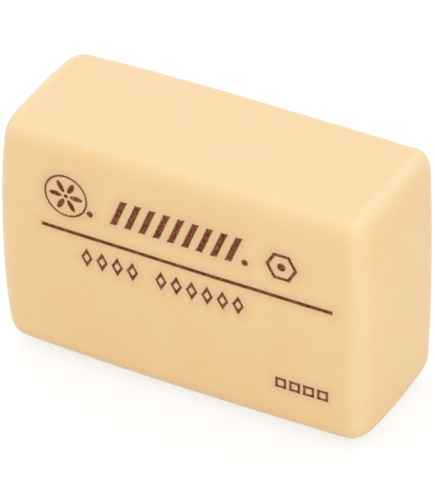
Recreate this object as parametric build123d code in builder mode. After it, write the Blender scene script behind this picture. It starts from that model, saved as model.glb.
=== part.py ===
# Block eraser: one moulded block of soft rubber, stamped with ink on one face.
# It stands on its long narrow side. X runs along the length, Y through the
# thickness and Z up, and the stamped face looks towards -Y.
# The origin is the middle of the underside. Sizes are in millimetres.

import os
from math import hypot, radians, sqrt, tan

from build123d import *

# Block
length = 57.0             # end to end, at the crest of each end
height = 37.0             # underside to the crest of the top
thickness = 22.5          # stamped face to back, at the crest of each
edge_radius = 4.0         # rounding of every edge and corner
face_rise = 0.35          # bow of the stamped face and of the back, along the length
top_rise = 0.35           # bow of the top, along the length
end_rise = 0.6            # bow of each end, from underside to top

# Stamped field, measured in from the start of the rounding
left_margin = 3.9         # to the left end of the ruled line
right_margin = 1.55       # to the right end of the ruled line
top_margin = 1.95         # to the top of the ring
bottom_margin = 2.7       # to the foot of the lower row
ink_film = 0.1            # how far the ink stands proud of the rubber

# Ring with a rosette
ring_diameter = 6.6       # outside
ring_line = 0.35          # width of its line
ring_indent = 0.6         # left end of the ruled line to the side of the ring
petal_count = 6
petal_length = 2.0
petal_width = 0.84
petal_place = 1.5         # middle of the rosette to the middle of a petal
rosette_dot = 0.7         # diameter of the dot in the middle

# Band of slanted bars
bar_height = 4.2
bar_width = 1.0
bar_pitch = 2.05          # least distance from bar to bar
bar_slant = 22.0          # degrees from upright
bar_drop = 1.35           # top of the ring to the top of the bars
bar_gap = 3.3             # ring to the first bar, and last bar to the hexagon

# Hexagon, as a pencil looks from its end
hexagon_height = 4.1      # between its flat sides
hexagon_line = 0.5        # width of its line
hexagon_dot = 1.3         # diameter of the lead in the middle
hexagon_indent = 5.2      # right end of the ruled line to the corner of the hexagon
hexagon_drop = 1.95       # top of the ring to the top of the hexagon

# Round stop after the ring, and one after the bars
stop_diameter = 1.0
stop_gap = 0.3            # side of the ring, or end of the bars, to the middle of the stop

# Ruled line
rule_line = 0.5           # width of the line
rule_drop = 2.3           # foot of the ring to the middle of the line

# Row of open diamonds under the ruled line
diamond_height = 2.9
diamond_width = 1.8
diamond_line = 0.4        # width of its line
diamond_pitch = 2.3
diamond_indent = 6.0      # left end of the ruled line to the first diamond
diamond_outdent = 12.4    # least distance from the last diamond to the right end of the line
diamond_drop = 1.95       # middle of the ruled line to the top of the diamonds
diamond_group = 4         # diamonds before the wide space
diamond_space = 2.0       # what the wide space adds to the pitch

# Row of open squares at the lower right
square_side = 1.65
square_line = 0.4         # width of its line
square_pitch = 2.05
square_count = 4
square_indent = 0.65      # right end of the ruled line to the last square
square_lift = 0.7         # foot of the stamped field to the foot of the squares

# The radius that gives the stamped face its rise
face_bow = (length**2 / 4 + face_rise**2) / (2 * face_rise)

# Places in the stamped field
field_left = -length / 2 + edge_radius + left_margin
field_right = length / 2 - edge_radius - right_margin
field_top = height - edge_radius - top_margin
ring_x = field_left + ring_indent + ring_diameter / 2
ring_z = field_top - ring_diameter / 2
rule_z = field_top - ring_diameter - rule_drop
hexagon_corner = hexagon_height / sqrt(3)
hexagon_x = field_right - hexagon_indent - hexagon_corner
hexagon_z = field_top - hexagon_drop - hexagon_height / 2
diamond_z = rule_z - diamond_drop - diamond_height / 2
square_z = edge_radius + bottom_margin + square_lift + square_side / 2

# The bars share out the room between the ring and the hexagon
bar_lean = bar_height * tan(radians(bar_slant))
bars_left = ring_x + ring_diameter / 2 + bar_gap
bars_right = hexagon_x - hexagon_corner - bar_gap
bar_half = (bar_width + bar_lean) / 2
bar_room = bars_right - bars_left - 2 * bar_half
bar_steps = max(1, int(bar_room / bar_pitch))
bar_z = field_top - bar_drop - bar_height / 2
bar_places = [
    (bars_left + bar_half + step * bar_room / bar_steps, bar_z)
    for step in range(bar_steps + 1)
]
stop_z = bar_z - bar_height / 2 + stop_diameter / 2
stop_places = [
    (ring_x + ring_diameter / 2 + stop_gap, stop_z),
    (bars_right + stop_gap, stop_z),
]

# The diamonds fill the line up to their right limit
diamond_left = field_left + diamond_indent + diamond_width / 2
diamond_room = field_right - diamond_outdent - diamond_width / 2 - diamond_space - diamond_left
diamond_places = [
    (diamond_left + step * diamond_pitch + diamond_space * (step >= diamond_group), diamond_z)
    for step in range(1 + int(diamond_room / diamond_pitch))
]

# A diamond's opening is the diamond itself, made smaller until its sides have their width
diamond_reach = diamond_width * diamond_height / hypot(diamond_width, diamond_height) / 2
diamond_opening = 1 - diamond_line / diamond_reach

square_right = field_right - square_indent - square_side / 2
square_places = [(square_right - step * square_pitch, square_z) for step in range(square_count)]


def face_y(x, film):
    """Y of the stamped face at x, with a film of that thickness on it."""
    return face_bow - thickness / 2 - sqrt((face_bow + film) ** 2 - x**2)


# The block: a plan with bowed faces, cut to a side outline with a bowed top and ends
with BuildPart() as eraser_block:
    with BuildSketch(Plane.XY) as plan:
        with BuildLine():
            front = ThreePointArc(
                (-length / 2, face_y(-length / 2, 0)),
                (0, face_y(0, 0)),
                (length / 2, face_y(length / 2, 0)),
            )
            back = mirror(front, about=Plane.XZ)
            Line(front @ 0, back @ 0)
            Line(front @ 1, back @ 1)
        make_face()
    extrude(amount=height)
    with BuildSketch(Plane.XZ) as side:
        with BuildLine():
            foot = Line((end_rise - length / 2, 0), (length / 2 - end_rise, 0))
            shoulder = height - top_rise
            end = ThreePointArc(
                foot @ 1,
                (length / 2, shoulder / 2),
                (length / 2 - end_rise, shoulder),
            )
            mirror(end, about=Plane.YZ)
            ThreePointArc(end @ 1, (0, height), (end_rise - length / 2, shoulder))
        make_face()
    extrude(amount=thickness, both=True, mode=Mode.INTERSECT)
    fillet(eraser_block.edges(), edge_radius)
eraser_block.part.label = "eraser_block"

# The stamp: a film of ink that follows the bowed face, cut to its marks
with BuildPart() as face_print:
    flat_left = -length / 2 + edge_radius
    with BuildSketch(Plane.XY.offset(edge_radius)) as film:
        with BuildLine():
            inner = ThreePointArc(
                (flat_left, face_y(flat_left, 0)),
                (0, face_y(0, 0)),
                (-flat_left, face_y(flat_left, 0)),
            )
            outer = ThreePointArc(
                (flat_left, face_y(flat_left, ink_film)),
                (0, face_y(0, ink_film)),
                (-flat_left, face_y(flat_left, ink_film)),
            )
            Line(inner @ 0, outer @ 0)
            Line(inner @ 1, outer @ 1)
        make_face()
    extrude(amount=height - 2 * edge_radius)

    stamp_plane = Plane(origin=(0, -thickness, 0), x_dir=(1, 0, 0), z_dir=(0, -1, 0))
    with BuildSketch(stamp_plane) as marks:
        with Locations((ring_x, ring_z)):
            Circle(ring_diameter / 2)
            Circle(ring_diameter / 2 - ring_line, mode=Mode.SUBTRACT)
            Circle(rosette_dot / 2)
            with PolarLocations(petal_place, petal_count):
                Ellipse(petal_length / 2, petal_width / 2)
        with Locations(*bar_places):
            Polygon(
                (-bar_half, -bar_height / 2),
                (bar_width - bar_half, -bar_height / 2),
                (bar_half, bar_height / 2),
                (bar_half - bar_width, bar_height / 2),
            )
        with Locations(*stop_places):
            Circle(stop_diameter / 2)
        with Locations((hexagon_x, hexagon_z)):
            hexagon_reach = hexagon_height / 2
            hexagon_gap = hexagon_reach - hexagon_line
            RegularPolygon(hexagon_reach, 6, major_radius=False)
            RegularPolygon(hexagon_gap, 6, major_radius=False, mode=Mode.SUBTRACT)
            Circle(hexagon_dot / 2)
        with Locations(((field_left + field_right) / 2, rule_z)):
            Rectangle(field_right - field_left, rule_line)
        with Locations(*diamond_places):
            for share, mode in ((1, Mode.ADD), (diamond_opening, Mode.SUBTRACT)):
                Polygon(
                    (-share * diamond_width / 2, 0),
                    (0, -share * diamond_height / 2),
                    (share * diamond_width / 2, 0),
                    (0, share * diamond_height / 2),
                    mode=mode,
                )
        with Locations(*square_places):
            square_gap = square_side - 2 * square_line
            Rectangle(square_side, square_side)
            Rectangle(square_gap, square_gap, mode=Mode.SUBTRACT)
    extrude(amount=-thickness, mode=Mode.INTERSECT)
face_print.part.label = "face_print"

os.makedirs("parts", exist_ok=True)
export_step(eraser_block.part, "parts/eraser_block.step")
export_step(face_print.part, "parts/face_print.step")
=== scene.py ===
"""Block eraser: a worn block of soft rubber with an ink stamp on its large front face.

Lengths are metres, X along the block, Y through it and Z up, with the front towards -Y.
The block and every mark of the stamp are closed surfaces worked out as whole arrays.
"""

from math import cos, hypot, pi, radians, sin, sqrt, tan

import bpy
import numpy as np
from mathutils import Matrix, Vector


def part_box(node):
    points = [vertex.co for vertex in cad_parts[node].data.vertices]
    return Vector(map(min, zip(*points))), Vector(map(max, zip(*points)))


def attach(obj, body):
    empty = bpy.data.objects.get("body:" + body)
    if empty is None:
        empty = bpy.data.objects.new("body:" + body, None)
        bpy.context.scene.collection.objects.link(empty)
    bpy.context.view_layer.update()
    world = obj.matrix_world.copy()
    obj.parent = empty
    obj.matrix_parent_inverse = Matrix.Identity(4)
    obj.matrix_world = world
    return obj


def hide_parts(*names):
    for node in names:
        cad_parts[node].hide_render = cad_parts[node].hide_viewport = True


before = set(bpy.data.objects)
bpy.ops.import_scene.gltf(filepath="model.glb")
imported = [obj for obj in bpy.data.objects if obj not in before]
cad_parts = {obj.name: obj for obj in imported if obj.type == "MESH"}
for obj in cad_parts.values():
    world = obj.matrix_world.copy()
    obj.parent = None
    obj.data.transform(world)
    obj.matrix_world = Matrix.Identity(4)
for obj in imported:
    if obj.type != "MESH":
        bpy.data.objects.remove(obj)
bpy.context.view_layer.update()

mm = 0.001

# Block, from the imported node
block_low, block_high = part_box("eraser_block")
length = block_high.x - block_low.x
thickness = block_high.y - block_low.y
height = block_high.z - block_low.z
half_size = np.array([length, thickness, height]) / 2
block_middle = np.array([0, 0, height / 2])
rounding = np.array([3.14, 4.6, 3.79]) * mm
grid_step = 0.35 * mm

# How far each face falls back towards its borders, and the direction it falls in
right_fall = (0.86 * mm, 0.78 * mm)      # through the thickness, and up the height
left_fall = (0.44 * mm, 1.19 * mm)       # the same two ways
front_fall = 0.20 * mm                   # along the length
back_fall = 0.35 * mm
top_fall = 0.40 * mm
foot_fall = 0.55 * mm

# How far each corner is worn in along each axis. A negative one is fuller than the rest
corner_wear = {
    (-1, -1, 1): 0.26 * mm,
    (-1, 1, 1): 0.27 * mm,
    (1, 1, 1): -0.47 * mm,
    (1, 1, -1): -0.50 * mm,
    (1, -1, -1): -0.19 * mm,
    (-1, -1, -1): 0.16 * mm,
}

# Low lumps of a moulded and tumbled block: wavelength, height and seed of each kind
broad_lumps = (13 * mm, 0.018 * mm, 3)
fine_lumps = (3.2 * mm, 0.003 * mm, 8)
lump_room = 0.05 * mm                    # how far the skin is set back to make room for them
waves_per_kind = 24
wave_spread = (0.7, 1.5)                 # shortest and longest wave, in wavelengths

# Edges that run along the length, through the thickness and up: paler where rubbed, and with a
# painted highlight along each rounding, whose turn, width and strength are set per edge. The turn
# is measured from the front or back face, but from the end face on edges that run through the
# thickness
wear_highlight_turn = np.radians([55, 65, 48])
wear_highlight_width = np.radians([18, 27, 31])
wear_highlight_strength = np.array([0.52, 1.0, 0.50])

# Ink film: how far it stands proud, how deep its rim sinks in, and how wide the rim's rise is
ink_film = 0.012 * mm
ink_root = 0.012 * mm
ink_rim = 0.07 * mm
rim_rows = np.array([0, 0.35, 0.7, 1.1, 1.7]) * ink_rim      # rows of corners near the rim
row_step = 5 * ink_rim                   # greatest step between the rows farther in
outline_step = 0.2 * mm
merge_step = 0.01 * 0.001 * mm           # corners of a mark that are nearer than this are one
ink_bleed = 0.1 * mm                     # how far the film fades out past each outline
stain_reach = 0.8 * mm                   # how far its oil creeps through the skin
stain_depth = 1 * mm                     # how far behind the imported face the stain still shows

# How the stamp came down: moved along the length and up, and turned about the field's middle
stamp_shift = np.array([0.13, 0.06]) * mm
stamp_turn = radians(-0.25)

# Stamped field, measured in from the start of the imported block's rounding
edge_radius = 4.0 * mm
left_margin = 3.9 * mm                   # to the left end of the ruled line
right_margin = 1.55 * mm                 # to the right end of the ruled line
top_margin = 1.95 * mm                   # to the top of the ring
bottom_margin = 2.7 * mm                 # to the foot of the lower row
field_left = -length / 2 + edge_radius + left_margin
field_right = length / 2 - edge_radius - right_margin
field_top = height - edge_radius - top_margin
field_foot = edge_radius + bottom_margin

# Ring with a rosette
ring_diameter = 6.6 * mm
ring_line = 0.35 * mm
ring_indent = 0.6 * mm                   # left end of the ruled line to the side of the ring
petal_count = 6
petal_length = 1.95 * mm
petal_width = 0.84 * mm
petal_place = 1.56 * mm                  # middle of the rosette to the middle of a petal
rosette_dot = 0.7 * mm
ring_x = field_left + ring_indent + ring_diameter / 2
ring_z = field_top - ring_diameter / 2

# Hexagon, as a pencil looks from its end
hexagon_height = 4.1 * mm
hexagon_line = 0.5 * mm
hexagon_dot = 1.3 * mm
hexagon_indent = 5.2 * mm                # right end of the ruled line to the hexagon's corner
hexagon_drop = 1.95 * mm                 # top of the ring to the top of the hexagon
hexagon_corner = hexagon_height / sqrt(3)
hexagon_x = field_right - hexagon_indent - hexagon_corner
hexagon_z = field_top - hexagon_drop - hexagon_height / 2

# Slanted bars, which share out the room between the ring and the hexagon
bar_height = 4.2 * mm
bar_width = 1.0 * mm
bar_pitch = 2.05 * mm                    # least distance from bar to bar
bar_slant = radians(22)
bar_drop = 1.35 * mm                     # top of the ring to the top of the bars
bar_gap = 3.3 * mm                       # ring to the first bar, and last bar to the hexagon
bar_half = (bar_width + bar_height * tan(bar_slant)) / 2
bars_left = ring_x + ring_diameter / 2 + bar_gap
bars_right = hexagon_x - hexagon_corner - bar_gap
bar_room = bars_right - bars_left - 2 * bar_half
bar_steps = int(bar_room / bar_pitch)
bar_z = field_top - bar_drop - bar_height / 2

# Round stop after the ring, and one after the bars
stop_diameter = 1.0 * mm
stop_gap = 0.3 * mm                      # side of the ring, or end of the bars, to its middle
stop_z = bar_z - bar_height / 2 + stop_diameter / 2

# Ruled line
rule_line = 0.6 * mm
rule_drop = 2.3 * mm                     # foot of the ring to the middle of the line
rule_z = field_top - ring_diameter - rule_drop

# Open diamonds under the line, in two groups
diamond_height = 2.9 * mm
diamond_width = 1.8 * mm
diamond_line = 0.4 * mm
diamond_pitch = 2.3 * mm
diamond_group = 4                        # diamonds before the wide space
diamond_space = 2.0 * mm                 # what the wide space adds to the pitch
diamond_indent = 6.0 * mm                # left end of the ruled line to the first diamond
diamond_outdent = 12.4 * mm              # least way from the last one to the line's right end
diamond_drop = 1.95 * mm                 # middle of the ruled line to the top of the diamonds
diamond_left = field_left + diamond_indent + diamond_width / 2
diamond_right = field_right - diamond_outdent - diamond_width / 2
diamond_z = rule_z - diamond_drop - diamond_height / 2

# Open squares at the lower right
square_side = 1.65 * mm
square_line = 0.4 * mm
square_pitch = 2.05 * mm
square_count = 4
square_indent = 0.65 * mm                # right end of the ruled line to the last square
square_lift = 0.7 * mm                   # foot of the stamped field to the foot of the squares
square_right = field_right - square_indent - square_side / 2
square_z = field_foot + square_lift + square_side / 2

# Camera, in pixels of the picture
frame_width = 435
frame_height = 495
view_azimuth = radians(28.639)
view_elevation = radians(35.924)
view_roll = radians(-0.687)
focal_pixels = 5674.0
pixels_per_metre = 7521.0                # at the middle of the block
middle_right = 217.02                    # where the middle of the block shows
middle_down = 243.79
sensor = 36.0


def lumps(points, kind):
    """Height of low lumps at each point.

    It is the sum of plane waves of about one wavelength that run in directions drawn once
    from a seed, each with its own phase, scaled so that the sum has the height asked for.
    """
    wavelength, lump_height, seed = kind
    draw = np.random.default_rng(seed)
    direction = draw.normal(size=(waves_per_kind, 3))
    direction /= np.linalg.norm(direction, axis=1)[:, None]
    wave_number = 2 * pi / (wavelength * draw.uniform(*wave_spread, waves_per_kind))
    phase = draw.uniform(0, 2 * pi, waves_per_kind)
    waves = np.sin(points @ (direction * wave_number[:, None]).T + phase)
    return lump_height * waves.sum(1) * sqrt(2 / waves_per_kind)


def worn_block(box_points):
    """Points of the worn block for points on a sharp box of the same size, both about its middle.

    First the box is rounded: each point is pulled to the core that lies one rounding inside
    the box, and goes out from it by the rounding, which is longer through the thickness.
    Then each face falls back by its fall times the square of how far the point lies from the
    middle of the face, faded by the cube of how near it is to that face.
    Each corner is worn in by the cube of the product of the three shares of the half size.
    Last, the low lumps move each point along the direction it went out in, except at the foot.
    """
    core = np.clip(box_points, rounding - half_size, half_size - rounding)
    outward = (box_points - core) / rounding
    outward /= np.linalg.norm(outward, axis=1)[:, None]
    points = core + rounding * outward

    share = points / half_size
    side = np.sign(share)
    along, through, up = np.abs(share).T
    end_fall = np.where(
        side[:, 0] > 0,
        right_fall[0] * through**2 + right_fall[1] * up**2,
        left_fall[0] * through**2 + left_fall[1] * up**2,
    )
    large_fall = np.where(side[:, 1] > 0, back_fall, front_fall) * along**2
    long_fall = np.where(side[:, 2] > 0, top_fall, foot_fall) * along**2
    fall = np.stack([end_fall * along**3, large_fall * through**3, long_fall * up**3], 1)
    moved = points - side * fall

    corner = (along * through * up) ** 3
    for which, wear in corner_wear.items():
        here = (side == which).all(1)
        moved[here] -= np.array(which) * (wear * corner[here])[:, None]

    relief = lumps(points, broad_lumps) + lumps(points, fine_lumps) - lump_room
    above_foot = np.clip((points[:, 2] + half_size[2]) / rounding[2], 0, 1)
    return moved + outward * (relief * above_foot)[:, None]


def edge_wear_and_highlight(box_points):
    """How worn each point is, with the painted highlight it takes, for points on a sharp box as
    above.

    For each of the three ways an edge can run, the normal of the rounding has turned from one
    face to the next by an angle. The mask is a bell curve of that angle about the turn where the
    painted highlight peaks, faded as the normal leans along the edge, and the three are added.
    It stands partly for paler rubbed wear and partly for a painted highlight along the edges.
    faded as the normal leans along the edge, and the three are added.
    """
    core = np.clip(box_points, rounding - half_size, half_size - rounding)
    normal = np.abs(box_points - core) / rounding**2
    normal /= np.linalg.norm(normal, axis=1)[:, None]
    along, through, up = normal.T
    turn = np.stack([np.arctan2(up, through), np.arctan2(up, along), np.arctan2(along, through)], 1)
    band = np.exp(-(((turn - wear_highlight_turn) / wear_highlight_width) ** 2))
    return (band * (1 - normal**2) ** 2) @ wear_highlight_strength


def front_points(x, z, lift):
    """Points at x and z on the stamped face of the worn block, lifted off it by lift.

    Wear shifts a point of the face sideways too, so the place on the sharp box is corrected
    by what is still missing, three times over.
    """
    goal = np.stack([x, z - height / 2], 1)
    place = goal.copy()
    for _ in range(3):
        box_points = np.stack([place[:, 0], np.full(len(x), -half_size[1]), place[:, 1]], 1)
        points = worn_block(box_points)
        place += goal - points[:, [0, 2]]
    points[:, [0, 2]] = goal
    points[:, 1] -= lift
    return points + block_middle


def new_piece(name, points, faces, material, node):
    """A smooth mesh piece at the origin that rides on the part's only body."""
    mesh = bpy.data.meshes.new(name)
    mesh.from_pydata(points.tolist(), [], faces.tolist())
    mesh.polygons.foreach_set("use_smooth", np.ones(len(mesh.polygons), bool))
    mesh.materials.append(material)
    mesh.update()
    piece = bpy.data.objects.new(name, mesh)
    bpy.context.scene.collection.objects.link(piece)
    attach(piece, "root")
    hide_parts(node)
    return piece


def block_surface():
    """Corners, faces and edge wear with its painted highlight of a closed grid over all six faces
    of the worn block.

    Each face of a box of cells is a grid on two parameters. Corners that two faces share have
    the same whole-number place, so they are merged by it, and no seam is left.
    """
    cells = np.ceil(2 * half_size / grid_step).astype(int)
    places = []
    faces = []
    count = 0
    for axis in range(3):
        first = (axis + 1) % 3
        second = (axis + 2) % 3
        rows = np.arange(cells[first] + 1)
        columns = np.arange(cells[second] + 1)
        row, column = np.meshgrid(rows, columns, indexing="ij")
        number = np.arange(row.size).reshape(row.shape)
        corners = [number[:-1, :-1], number[1:, :-1], number[1:, 1:], number[:-1, 1:]]
        quads = np.stack(corners, -1).reshape(-1, 4)
        for end in (0, 1):
            place = np.zeros((row.size, 3), int)
            place[:, axis] = end * cells[axis]
            place[:, first] = row.ravel()
            place[:, second] = column.ravel()
            places.append(place)
            faces.append(count + (quads if end else quads[:, ::-1]))
            count += row.size
    places, merged = np.unique(np.concatenate(places), axis=0, return_inverse=True)
    faces = merged.ravel()[np.concatenate(faces)]
    box_points = (2 * places / cells - 1) * half_size
    return worn_block(box_points) + block_middle, faces, edge_wear_and_highlight(box_points)


def set_attribute(piece, name, values):
    """Stores one number for each corner of a piece, for its material to read."""
    attribute = piece.data.attributes.new(name, "FLOAT", "POINT")
    attribute.data.foreach_set("value", values)


def straight_outline(corners):
    """Points a fixed step or less apart along the straight sides of a closed outline."""
    corners = np.array(corners, float)
    sides = []
    for start, stop in zip(corners, np.roll(corners, -1, axis=0)):
        count = max(2, int(np.ceil(np.linalg.norm(stop - start) / outline_step)))
        share = np.arange(count)[:, None] / count
        sides.append(start + share * (stop - start))
    return np.concatenate(sides)


def oblong_outline(half_run, half_wide):
    """Points along the sides of an oblong about the origin."""
    corners = [
        (-half_run, -half_wide),
        (half_run, -half_wide),
        (half_run, half_wide),
        (-half_run, half_wide),
    ]
    return straight_outline(corners)


def oval_outline(width, tall):
    """Points of an ellipse about the origin, about a fixed step apart."""
    count = 4 * max(6, int(np.ceil(pi * (width + tall) / 8 / outline_step)))
    angle = np.arange(count) * 2 * pi / count
    return np.stack([width / 2 * np.cos(angle), tall / 2 * np.sin(angle)], 1)


def spine_of(outline, half_run):
    """For each point of an outline, the nearest point of a spine along X about the origin."""
    spine = np.zeros_like(outline)
    spine[:, 0] = np.clip(outline[:, 0], -half_run, half_run)
    return spine


def as_stamped(places):
    """Where places of the drawn stamp came to lie on the face."""
    middle = np.array([field_left + field_right, field_top + field_foot]) / 2
    turned = np.array([[cos(stamp_turn), sin(stamp_turn)], [-sin(stamp_turn), cos(stamp_turn)]])
    return (places - middle) @ turned + middle + stamp_shift


def ink_pad(outer, inner, is_ring):
    """Corners, triangles and rim distances of one thin closed pad of ink on the stamped face.

    The pad lies between an outer and an inner outline of as many points, where the inner one
    of a pad that is no ring is its spine. A section is carried around them: over the top it
    rises from each rim by a smooth step, and underneath it lies inside the rubber.
    """
    width = np.linalg.norm(inner - outer, axis=1)
    reach = width.max() / 2 if is_ring else width.max()
    near_rim = rim_rows[rim_rows < 0.9 * reach]
    farther_in = np.linspace(near_rim[-1], reach, 2 + int(reach / row_step))[1:]
    over = np.concatenate([near_rim, farther_in]) / width.max()
    if is_ring:
        over = np.concatenate([over, 1 - over[-2::-1]])
    under = over[-2:0:-2] if is_ring else over[::-2][: -1 if len(over) % 2 else None]
    share = np.concatenate([over, under])
    from_rim = (np.minimum(share, 1 - share) if is_ring else share)[:, None] * width
    rise = np.clip(from_rim / ink_rim, 0, 1)
    lift = (ink_film + ink_root) * rise * rise * (3 - 2 * rise) - ink_root
    lift[len(over):] = -2 * ink_root
    place = as_stamped(outer + share[:, None, None] * (inner - outer))
    points = front_points(place[..., 0].ravel(), place[..., 1].ravel(), lift.ravel())

    section = np.arange(len(share))[:, None]
    next_section = (section + 1) % len(share)
    turn = np.arange(len(outer))
    next_turn = (turn + 1) % len(outer)
    first = section * len(outer) + turn
    second = section * len(outer) + next_turn
    third = next_section * len(outer) + next_turn
    fourth = next_section * len(outer) + turn
    triangles = np.stack([first, second, third, first, third, fourth], -1).reshape(-1, 3)
    return points, triangles, from_rim.ravel()


def stamp_piece(name, pads, material):
    """One piece for several pads. Corners that fall together are merged, and slivers go."""
    points = []
    triangles = []
    from_rim = []
    count = 0
    for pad_points, pad_triangles, pad_from_rim in pads:
        points.append(pad_points)
        triangles.append(pad_triangles + count)
        from_rim.append(pad_from_rim)
        count += len(pad_points)
    points = np.concatenate(points)
    places = np.round(points / merge_step).astype(np.int64)
    _, kept, merged = np.unique(places, axis=0, return_index=True, return_inverse=True)
    triangles = merged.ravel()[np.concatenate(triangles)]
    whole = (triangles != np.roll(triangles, 1, axis=1)).all(1)
    piece = new_piece(name, points[kept], triangles[whole], material, "face_print")
    set_attribute(piece, "from_rim", np.concatenate(from_rim)[kept] / mm)


def disc(diameter, x, z):
    """A round pad of ink."""
    outline = oval_outline(diameter + 2 * ink_bleed, diameter + 2 * ink_bleed)
    return ink_pad(outline + (x, z), np.zeros_like(outline) + (x, z), False)


def open_shape(outline, span, line, x, z):
    """A ring of ink inside an outline, whose sides lie a span from its middle."""
    outer = (1 + ink_bleed / span) * outline
    inner = (1 - (line + ink_bleed) / span) * outline
    return ink_pad(outer + (x, z), inner + (x, z), True)


def petal(turn):
    """An oval pad whose long way points out from the middle of the rosette."""
    long = petal_length + 2 * ink_bleed
    wide = petal_width + 2 * ink_bleed
    outline = oval_outline(long, wide)
    spine = spine_of(outline, (long - wide**2 / long) / 2)
    turned = np.array([[cos(turn), sin(turn)], [-sin(turn), cos(turn)]])
    middle = (ring_x + petal_place * cos(turn), ring_z + petal_place * sin(turn))
    return ink_pad(outline @ turned + middle, spine @ turned + middle, False)


def slanted_bar(x):
    """An upright bar, sheared so that it leans to the right."""
    half_high = bar_height / 2 + ink_bleed
    half_wide = bar_width / 2 + ink_bleed
    outline = oblong_outline(half_high, half_wide)
    spine = spine_of(outline, half_high - half_wide)
    sheared = np.array([[tan(bar_slant), 1], [-1, 0]])
    return ink_pad(outline @ sheared + (x, bar_z), spine @ sheared + (x, bar_z), False)


def rule():
    """The ruled line, one long bar."""
    half_run = (field_right - field_left) / 2
    half_line = rule_line / 2 + ink_bleed
    outline = oblong_outline(half_run, half_line)
    middle = ((field_left + field_right) / 2, rule_z)
    return ink_pad(outline + middle, spine_of(outline, half_run - half_line) + middle, False)


def rosette_pads():
    """The ring, and the rosette inside it."""
    ring = oval_outline(ring_diameter, ring_diameter)
    pads = [open_shape(ring, ring_diameter / 2, ring_line, ring_x, ring_z)]
    pads.append(disc(rosette_dot, ring_x, ring_z))
    pads += [petal(step * 2 * pi / petal_count) for step in range(petal_count)]
    return pads


def hexagon_pads():
    """The hexagon with its lead in the middle."""
    angle = np.arange(6) * pi / 3
    corners = hexagon_corner * np.stack([np.cos(angle), np.sin(angle)], 1)
    outline = straight_outline(corners)
    hexagon = open_shape(outline, hexagon_height / 2, hexagon_line, hexagon_x, hexagon_z)
    return [hexagon, disc(hexagon_dot, hexagon_x, hexagon_z)]


def diamond_pads():
    """Open diamonds, as many as fit, with a wide space after the first group."""
    half_wide = diamond_width / 2
    half_high = diamond_height / 2
    corners = [(half_wide, 0), (0, half_high), (-half_wide, 0), (0, -half_high)]
    outline = straight_outline(corners)
    span = half_wide * half_high / hypot(half_wide, half_high)
    count = 1 + int((diamond_right - diamond_space - diamond_left) / diamond_pitch)
    steps = np.arange(count)
    xs = diamond_left + steps * diamond_pitch + diamond_space * (steps >= diamond_group)
    return [open_shape(outline, span, diamond_line, x, diamond_z) for x in xs]


def square_pads():
    """Open squares in a row."""
    half = square_side / 2
    outline = oblong_outline(half, half)
    xs = square_right - np.arange(square_count) * square_pitch
    return [open_shape(outline, half, square_line, x, square_z) for x in xs]


def stain_around(points, pads):
    """How much oil has crept into the skin from the ink, at points of the block.

    It is a bell curve of how far the nearest rim of a mark is, seen straight from the front,
    and it stays on the stamped face.
    """
    stained = points[:, 1] < block_low.y + stain_depth
    skin = points[stained]
    nearest = np.full(len(skin), np.inf)
    for pad_points, _, from_rim in pads:
        rim = pad_points[from_rim == 0]
        across = skin[:, None, 0] - rim[:, 0]
        up = skin[:, None, 2] - rim[:, 2]
        nearest = np.minimum(nearest, (across**2 + up**2).min(1))
    stain = np.zeros(len(points))
    stain[stained] = np.exp(-nearest / stain_reach**2)
    return stain


def feed(tree, socket, value):
    """Links an output to a socket, or sets the socket to a plain value."""
    if isinstance(value, bpy.types.NodeSocket):
        tree.links.new(value, socket)
    else:
        socket.default_value = value


def noise(tree, point, scale, detail, rough=0.5):
    """Soft cloudy noise about one half, at so many clouds a millimetre."""
    node = tree.nodes.new("ShaderNodeTexNoise")
    feed(tree, node.inputs["Vector"], point)
    feed(tree, node.inputs["Scale"], scale)
    feed(tree, node.inputs["Detail"], detail)
    feed(tree, node.inputs["Roughness"], rough)
    return node.outputs["Fac"]


def step_up(tree, value, low, high, to_low=0.0, to_high=1.0):
    """A smooth step from one value to another as the input goes from low to high."""
    node = tree.nodes.new("ShaderNodeMapRange")
    node.interpolation_type = "SMOOTHSTEP"
    feed(tree, node.inputs["Value"], value)
    feed(tree, node.inputs["From Min"], low)
    feed(tree, node.inputs["From Max"], high)
    feed(tree, node.inputs["To Min"], to_low)
    feed(tree, node.inputs["To Max"], to_high)
    return node.outputs["Result"]


def reckon(tree, operation, first, second=0.0):
    """One step of arithmetic."""
    node = tree.nodes.new("ShaderNodeMath")
    node.operation = operation
    feed(tree, node.inputs[0], first)
    feed(tree, node.inputs[1], second)
    return node.outputs[0]


def mix_colors(tree, share, first, second):
    """A colour between two, by share. Sockets 6 and 7 of the node are its two colours."""
    node = tree.nodes.new("ShaderNodeMix")
    node.data_type = "RGBA"
    feed(tree, node.inputs["Factor"], share)
    feed(tree, node.inputs[6], first)
    feed(tree, node.inputs[7], second)
    return node.outputs[2]


def weigh(tree, part, first, second):
    """So much of one value, and the rest from another."""
    most = reckon(tree, "MULTIPLY", first, part)
    return reckon(tree, "ADD", most, reckon(tree, "MULTIPLY", second, 1 - part))


def new_group(name, inputs, outputs):
    """An empty shader group with its named sockets: what it is given, and what it puts out."""
    tree = bpy.data.node_groups.new(name, "ShaderNodeTree")
    for direction, sockets in (("INPUT", inputs), ("OUTPUT", outputs)):
        for socket_name, kind in sockets.items():
            socket_type = f"NodeSocket{kind}"
            tree.interface.new_socket(socket_name, in_out=direction, socket_type=socket_type)
    given = tree.nodes.new("NodeGroupInput")
    found = tree.nodes.new("NodeGroupOutput")
    return tree, given.outputs, found.inputs


# Rubber, in linear colours
rubber_pale = (0.796, 0.556, 0.283, 1)
rubber_deep = (0.786, 0.526, 0.247, 1)
# Paler edge tone: rubbed wear, and a painted highlight along the roundings
rubber_wear_and_highlight = (0.835, 0.650, 0.382, 1)
rubber_oily = (0.740, 0.483, 0.248, 1)
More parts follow.
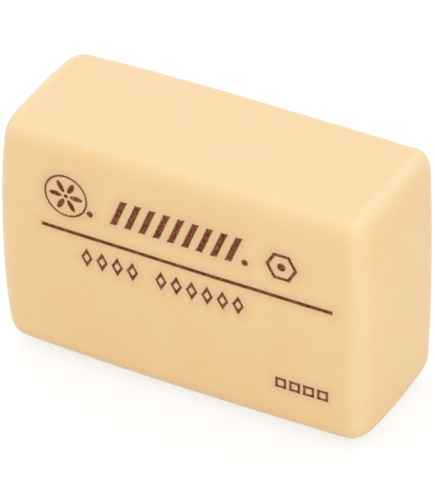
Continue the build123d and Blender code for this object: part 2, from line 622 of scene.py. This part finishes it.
# Stained skin under the ink, paler by painted gloss
stain_with_painted_gloss = (0.765, 0.509, 0.272, 1)
rubber_speck = (0.66, 0.40, 0.18, 1)
skin_gloss = 0.5
skin_sheen = 0.03
sheen_roughness = 0.4
skin_roughness = 0.45
roughness_spread = 0.04
skin_depth = 0.004 * mm

# Light inside the rubber: its share, how far it goes, and how far each colour of it goes
inner_share = 0.12
inner_reach = 1.2 * mm
inner_colors = (1.0, 0.55, 0.25)
rubber_ior = 1.5

# Patterns of the rubber, in clouds or cells a millimetre
cloud_scale = 0.11
mottle_scale = 0.9
grain_scale = 5.0
speck_scale = 0.38
cloud_part = 0.6                         # of the tone. The mottle makes the rest
mottle_part = 0.6                        # of the height. The grain makes the rest
# The wear below also carries the painted highlight of the edges
mottle_range = (0.3, 0.7)                # noise that takes the tone and roughness from end to end
patch_range = (0.2, 0.8)                 # noise over which wear and stains take unevenly
patchiness = (0.8, 1.2)                  # how weakly and how strongly they take
empty_cells = 0.5                        # share of the cells that hold no speck
speck_sizes = (0.02, 0.06)
speck_core = 0.4                         # share of a speck that is at its full strength

# Ink, in linear colours
ink_full = (0.125, 0.023, 0.003, 1)
ink_thin = (0.260, 0.068, 0.030, 1)
ink_gloss = 0.12
ink_roughness = 0.7

# Patterns of the ink, in clouds a millimetre
fray_scale = 3.6
pinhole_scale = 3.2
fullness_scale = 2.1
fray_range = (0.3, 0.7)                  # noise that pushes the rim in from not at all to fully
pinhole_rise = (-0.06, 0.08)             # noise less wear, from a gap to whole film
pinhole_cover = 0.7                      # how well the ink still covers in a gap
fullness_range = (0.34, 0.62)            # noise that takes the film from thin to full


def make_rubber_skin():
    """Group for the skin of tumbled rubber, at a point in millimetres.

    Broad clouds and a fine mottle move the colour between its pale and its deep tone. It pales
    where the edges are worn and carry a painted highlight, and takes a stain where oil has crept
    in; under the ink that stain tone is paler by painted gloss. Small specks of filler
    show as faint dots, each in a cell of its own that is drawn by lot.
    """
    values = {"Point": "Vector", "Wear And Highlight": "Float", "Stain": "Float"}
    tones = dict.fromkeys(("Pale", "Deep", "Wear And Highlight Tone", "Stain And Gloss Tone", "Speck"), "Color")
    outputs = {"Color": "Color", "Roughness": "Float", "Height": "Float"}
    tree, given, found = new_group("rubber_skin", values | tones, outputs)
    clouds = noise(tree, given["Point"], cloud_scale, detail=2.0)
    mottle = noise(tree, given["Point"], mottle_scale, detail=3.0, rough=0.6)
    grain = noise(tree, given["Point"], grain_scale, detail=2.0)
    tone = step_up(tree, weigh(tree, cloud_part, clouds, mottle), *mottle_range)
    toned = mix_colors(tree, tone, given["Pale"], given["Deep"])
    patchy = step_up(tree, mottle, *patch_range, *patchiness)
    # Edge wear with its painted highlight, taken unevenly
    wear_and_highlight = reckon(tree, "MULTIPLY", given["Wear And Highlight"], patchy)
    toned = mix_colors(tree, wear_and_highlight, toned, given["Wear And Highlight Tone"])
    stained = reckon(tree, "MULTIPLY", given["Stain"], patchy)
    toned = mix_colors(tree, stained, toned, given["Stain And Gloss Tone"])

    cells = tree.nodes.new("ShaderNodeTexVoronoi")
    feed(tree, cells.inputs["Vector"], given["Point"])
    feed(tree, cells.inputs["Scale"], speck_scale)
    lot = tree.nodes.new("ShaderNodeSeparateColor")
    feed(tree, lot.inputs["Color"], cells.outputs["Color"])
    size = step_up(tree, lot.outputs["Red"], empty_cells, 1.0, *speck_sizes)
    core = reckon(tree, "MULTIPLY", size, speck_core)
    dot = step_up(tree, cells.outputs["Distance"], size, core)
    drawn = reckon(tree, "GREATER_THAN", lot.outputs["Red"], empty_cells)
    strength = reckon(tree, "MULTIPLY", drawn, lot.outputs["Green"])
    speck = reckon(tree, "MULTIPLY", dot, strength)

    smoothest = skin_roughness - roughness_spread
    roughest = skin_roughness + roughness_spread
    roughness = step_up(tree, mottle, *mottle_range, smoothest, roughest)
    raised = weigh(tree, mottle_part, mottle, grain)
    feed(tree, found["Color"], mix_colors(tree, speck, toned, given["Speck"]))
    feed(tree, found["Roughness"], roughness)
    feed(tree, found["Height"], reckon(tree, "SUBTRACT", raised, speck))
    return tree


def make_ink_cover():
    """Group for how well the ink covers, from the distance to the rim of its mark.

    The film fades in from the rim, which frays where a fine noise pushes it in, and thins to
    small gaps where a second noise falls under the wear. What is left varies between a thin
    and a full film.
    """
    values = dict.fromkeys(("From Rim", "Bleed", "Fray", "Wear"), "Float")
    outputs = {"Cover": "Float", "Fullness": "Float"}
    tree, given, found = new_group("ink_cover", {"Point": "Vector"} | values, outputs)
    fine = noise(tree, given["Point"], fray_scale, detail=3.0, rough=0.6)
    ragged = reckon(tree, "MULTIPLY", step_up(tree, fine, *fray_range), given["Fray"])
    from_ragged = reckon(tree, "SUBTRACT", given["From Rim"], ragged)
    faded_in = reckon(tree, "MULTIPLY", given["Bleed"], 2.0)
    inside = step_up(tree, from_ragged, 0.0, faded_in)
    pinholes = noise(tree, given["Point"], pinhole_scale, detail=2.0, rough=0.6)
    left_whole = reckon(tree, "SUBTRACT", pinholes, given["Wear"])
    whole = step_up(tree, left_whole, *pinhole_rise, pinhole_cover)
    fullness = noise(tree, given["Point"], fullness_scale, detail=3.0, rough=0.65)
    feed(tree, found["Cover"], reckon(tree, "MULTIPLY", inside, whole))
    feed(tree, found["Fullness"], step_up(tree, fullness, *fullness_range))
    return tree


def start_material(name):
    """A material with an empty Principled shader, and Object coordinates in millimetres."""
    material = bpy.data.materials.new(name)
    material.use_nodes = True
    tree = material.node_tree
    shader = tree.nodes["Principled BSDF"]
    place = tree.nodes.new("ShaderNodeTexCoord")
    in_mm = tree.nodes.new("ShaderNodeVectorMath")
    in_mm.operation = "SCALE"
    feed(tree, in_mm.inputs[0], place.outputs["Object"])
    feed(tree, in_mm.inputs["Scale"], 1 / mm)
    return material, tree, shader, in_mm.outputs[0]


def place_group(tree, group, values):
    """Places a node group, and feeds its inputs by name."""
    node = tree.nodes.new("ShaderNodeGroup")
    node.node_tree = group
    for name, value in values.items():
        feed(tree, node.inputs[name], value)
    return node.outputs


def read_attribute(tree, name):
    """The value that a piece stores for each corner under a name."""
    attribute = tree.nodes.new("ShaderNodeAttribute")
    attribute.attribute_name = name
    return attribute.outputs["Fac"]


def place_skin(tree, point, wear_and_highlight, stain, stain_and_gloss_tone):
    """The rubber skin with the block's own tones, its paler edge tone that is partly a painted
    highlight, and the tone that a stain gives it, which under the ink is paler by painted gloss.
    """
    values = {"Point": point, "Wear And Highlight": wear_and_highlight, "Stain": stain, "Stain And Gloss Tone": stain_and_gloss_tone}
    tones = {"Pale": rubber_pale, "Deep": rubber_deep, "Wear And Highlight Tone": rubber_wear_and_highlight, "Speck": rubber_speck}
    return place_group(tree, rubber_skin, values | tones)


def add_bump(tree, shader, height_of_bump):
    """A Bump node of the skin's depth on the shader's normal."""
    bump = tree.nodes.new("ShaderNodeBump")
    feed(tree, bump.inputs["Strength"], 1.0)
    feed(tree, bump.inputs["Distance"], skin_depth)
    feed(tree, bump.inputs["Height"], height_of_bump)
    feed(tree, shader.inputs["Normal"], bump.outputs["Normal"])


def set_body(shader, gloss, sheen):
    """What light does inside soft rubber, and on top of it: its gloss and its dusty sheen."""
    shader.inputs["IOR"].default_value = rubber_ior
    shader.inputs["Subsurface Weight"].default_value = inner_share
    shader.inputs["Subsurface Radius"].default_value = inner_colors
    shader.inputs["Subsurface Scale"].default_value = inner_reach
    shader.inputs["Specular IOR Level"].default_value = gloss
    shader.inputs["Sheen Weight"].default_value = sheen
    shader.inputs["Sheen Roughness"].default_value = sheen_roughness


def make_rubber():
    """Matte soft rubber."""
    material, tree, shader, point = start_material("soft_rubber")
    # Edge wear and painted highlight, stored on the block
    wear_and_highlight = read_attribute(tree, "wear_and_highlight")
    stain = read_attribute(tree, "stain")
    skin = place_skin(tree, point, wear_and_highlight, stain, rubber_oily)
    feed(tree, shader.inputs["Base Color"], skin["Color"])
    feed(tree, shader.inputs["Roughness"], skin["Roughness"])
    add_bump(tree, shader, skin["Height"])
    set_body(shader, skin_gloss, skin_sheen)
    return material


def make_ink(name, fray, wear):
    """Stamped ink, duller than the rubber. Where it doesn't cover, the rubber's skin shows.

    That skin is paler than the stained skin around it by painted gloss, which makes up for the
    gloss that the dull film lacks.
    """
    material, tree, shader, point = start_material(name)
    # The skin under the ink is fully stained, in a tone paler by painted gloss
    skin = place_skin(tree, point, 0.0, 1.0, stain_with_painted_gloss)
    from_rim = read_attribute(tree, "from_rim")
    values = {"Point": point, "From Rim": from_rim, "Bleed": ink_bleed / mm}
    cover = place_group(tree, ink_cover, values | {"Fray": fray, "Wear": wear})
    inked = mix_colors(tree, cover["Fullness"], ink_thin, ink_full)
    color = mix_colors(tree, cover["Cover"], skin["Color"], inked)
    roughness = step_up(tree, cover["Cover"], 0.0, 1.0, skin_roughness, ink_roughness)
    feed(tree, shader.inputs["Base Color"], color)
    feed(tree, shader.inputs["Roughness"], roughness)
    add_bump(tree, shader, reckon(tree, "ADD", skin["Height"], cover["Cover"]))
    set_body(shader, ink_gloss, 0.0)
    return material


# Light: white is 1, lamps are in watts, and azimuth 0 is in front of the block
ambient = (1.05, 1.05, 1.05, 1)
lamp_distance = 0.5
lamp_size = 0.2
lamps = {                                # azimuth, elevation, power and colour of each
    "high_left": (-115, 62, 0.130, (0.96, 0.99, 1.0)),
    "front": (28, 15, 0.325, (1.0, 0.98, 0.965)),
    "back": (-150, 38, 0.138, (0.89, 0.93, 1.0)),
    "right": (90, 15, 0.142, (0.85, 0.965, 1.0)),
}

# Floor: its own tone, and what the eye sees of it, which is a glow and a weaker tone
floor_reach = 3.0
floor_tone = (0.8, 0.8, 0.8, 1)
floor_seen = (0.3, 0.3, 0.3, 1)
floor_glow = 0.72


def soft_lamp(name, azimuth, elevation, power, color):
    """A square area lamp on a sphere about the block's middle, turned towards it."""
    data = bpy.data.lights.new(name, "AREA")
    data.size = lamp_size
    data.energy = power
    data.color = color
    lamp = bpy.data.objects.new(name, data)
    bpy.context.scene.collection.objects.link(lamp)
    a = radians(azimuth)
    e = radians(elevation)
    way = np.array([sin(a) * cos(e), -cos(a) * cos(e), sin(e)])
    lamp.location = block_middle + lamp_distance * way
    lamp.rotation_euler = Vector(-way).to_track_quat("-Z", "Y").to_euler()


def set_camera():
    """The photograph's view: a long lens that looks down at the front and the right end."""
    a, e, roll = view_azimuth, view_elevation, view_roll
    back = np.array([sin(a) * cos(e), -cos(a) * cos(e), sin(e)])
    level_right = np.array([cos(a), sin(a), 0])
    level_up = np.array([-sin(a) * sin(e), cos(a) * sin(e), cos(e)])
    right = cos(roll) * level_right + sin(roll) * level_up
    up = cos(roll) * level_up - sin(roll) * level_right
    shown_right = (middle_right - frame_width / 2) / pixels_per_metre
    shown_down = (middle_down - frame_height / 2) / pixels_per_metre
    shift = shown_down * up - shown_right * right
    place = block_middle + focal_pixels / pixels_per_metre * back + shift
    data = bpy.data.cameras.new("camera")
    data.sensor_width = sensor
    data.lens = focal_pixels * sensor / frame_height
    data.clip_start = 0.01
    data.clip_end = 20
    camera = bpy.data.objects.new("camera", data)
    bpy.context.scene.collection.objects.link(camera)
    turned = np.eye(4)
    turned[:3, 0] = right
    turned[:3, 1] = up
    turned[:3, 2] = back
    turned[:3, 3] = place
    camera.matrix_world = Matrix(turned.tolist())
    bpy.context.scene.camera = camera


def seen_directly(tree):
    """One for camera, glossy and transmission rays, and nought for the rest."""
    path = tree.nodes.new("ShaderNodeLightPath")
    seen = reckon(tree, "MAXIMUM", path.outputs["Is Camera Ray"], path.outputs["Is Glossy Ray"])
    return reckon(tree, "MAXIMUM", seen, path.outputs["Is Transmission Ray"])


def set_world():
    """White where it is seen, and a plain soft level for the light it gives."""
    world = bpy.data.worlds.new("studio")
    bpy.context.scene.world = world
    world.use_nodes = True
    tree = world.node_tree
    background = tree.nodes["Background"]
    color = mix_colors(tree, seen_directly(tree), ambient, (1, 1, 1, 1))
    feed(tree, background.inputs["Color"], color)
    feed(tree, background.inputs["Strength"], 1.0)


def set_floor():
    """A pale floor. It shows white, less a part of the block's soft shadow."""
    reach = floor_reach
    corners = [(-reach, -reach, 0), (reach, -reach, 0), (reach, reach, 0), (-reach, reach, 0)]
    mesh = bpy.data.meshes.new("floor")
    mesh.from_pydata(corners, [], [(0, 1, 2, 3)])
    floor = bpy.data.objects.new("floor", mesh)
    bpy.context.scene.collection.objects.link(floor)
    material = bpy.data.materials.new("pale_floor")
    material.use_nodes = True
    tree = material.node_tree
    tree.nodes.remove(tree.nodes["Principled BSDF"])
    plain = tree.nodes.new("ShaderNodeBsdfDiffuse")
    feed(tree, plain.inputs["Color"], floor_tone)
    weak = tree.nodes.new("ShaderNodeBsdfDiffuse")
    feed(tree, weak.inputs["Color"], floor_seen)
    glow = tree.nodes.new("ShaderNodeEmission")
    feed(tree, glow.inputs["Strength"], floor_glow)
    shown = tree.nodes.new("ShaderNodeAddShader")
    feed(tree, shown.inputs[0], weak.outputs[0])
    feed(tree, shown.inputs[1], glow.outputs[0])
    choice = tree.nodes.new("ShaderNodeMixShader")
    feed(tree, choice.inputs[0], seen_directly(tree))
    feed(tree, choice.inputs[1], plain.outputs[0])
    feed(tree, choice.inputs[2], shown.outputs[0])
    feed(tree, tree.nodes["Material Output"].inputs["Surface"], choice.outputs[0])
    mesh.materials.append(material)


set_camera()
set_world()
set_floor()
for name, (azimuth, elevation, power, color) in lamps.items():
    soft_lamp(name, azimuth, elevation, power, color)

rubber_skin = make_rubber_skin()
ink_cover = make_ink_cover()
rubber = make_rubber()
stamped_ink = make_ink("stamped_ink", fray=0.05, wear=0.36)
ruled_ink = make_ink("ruled_ink", fray=0.03, wear=0.30)

bar_xs = [bars_left + bar_half + step * bar_room / bar_steps for step in range(bar_steps + 1)]
stop_xs = [ring_x + ring_diameter / 2 + stop_gap, bars_right + stop_gap]
stamp = {
    "stamp_rosette": (rosette_pads(), stamped_ink),
    "stamp_bars": ([slanted_bar(x) for x in bar_xs], stamped_ink),
    "stamp_stops": ([disc(stop_diameter, x, stop_z) for x in stop_xs], stamped_ink),
    "stamp_hexagon": (hexagon_pads(), stamped_ink),
    "stamp_rule": ([rule()], ruled_ink),
    "stamp_diamonds": (diamond_pads(), stamped_ink),
    "stamp_squares": (square_pads(), stamped_ink),
}
for name, (pads, ink) in stamp.items():
    stamp_piece(name, pads, ink)

block_points, block_faces, block_wear_and_highlight = block_surface()
block = new_piece("rubber_block", block_points, block_faces, rubber, "eraser_block")
# Paler edges: rubbed wear and a painted highlight along the roundings
set_attribute(block, "wear_and_highlight", block_wear_and_highlight)
all_pads = [pad for pads, ink in stamp.values() for pad in pads]
set_attribute(block, "stain", stain_around(block_points, all_pads))

bpy.context.scene.view_settings.view_transform = "Standard"
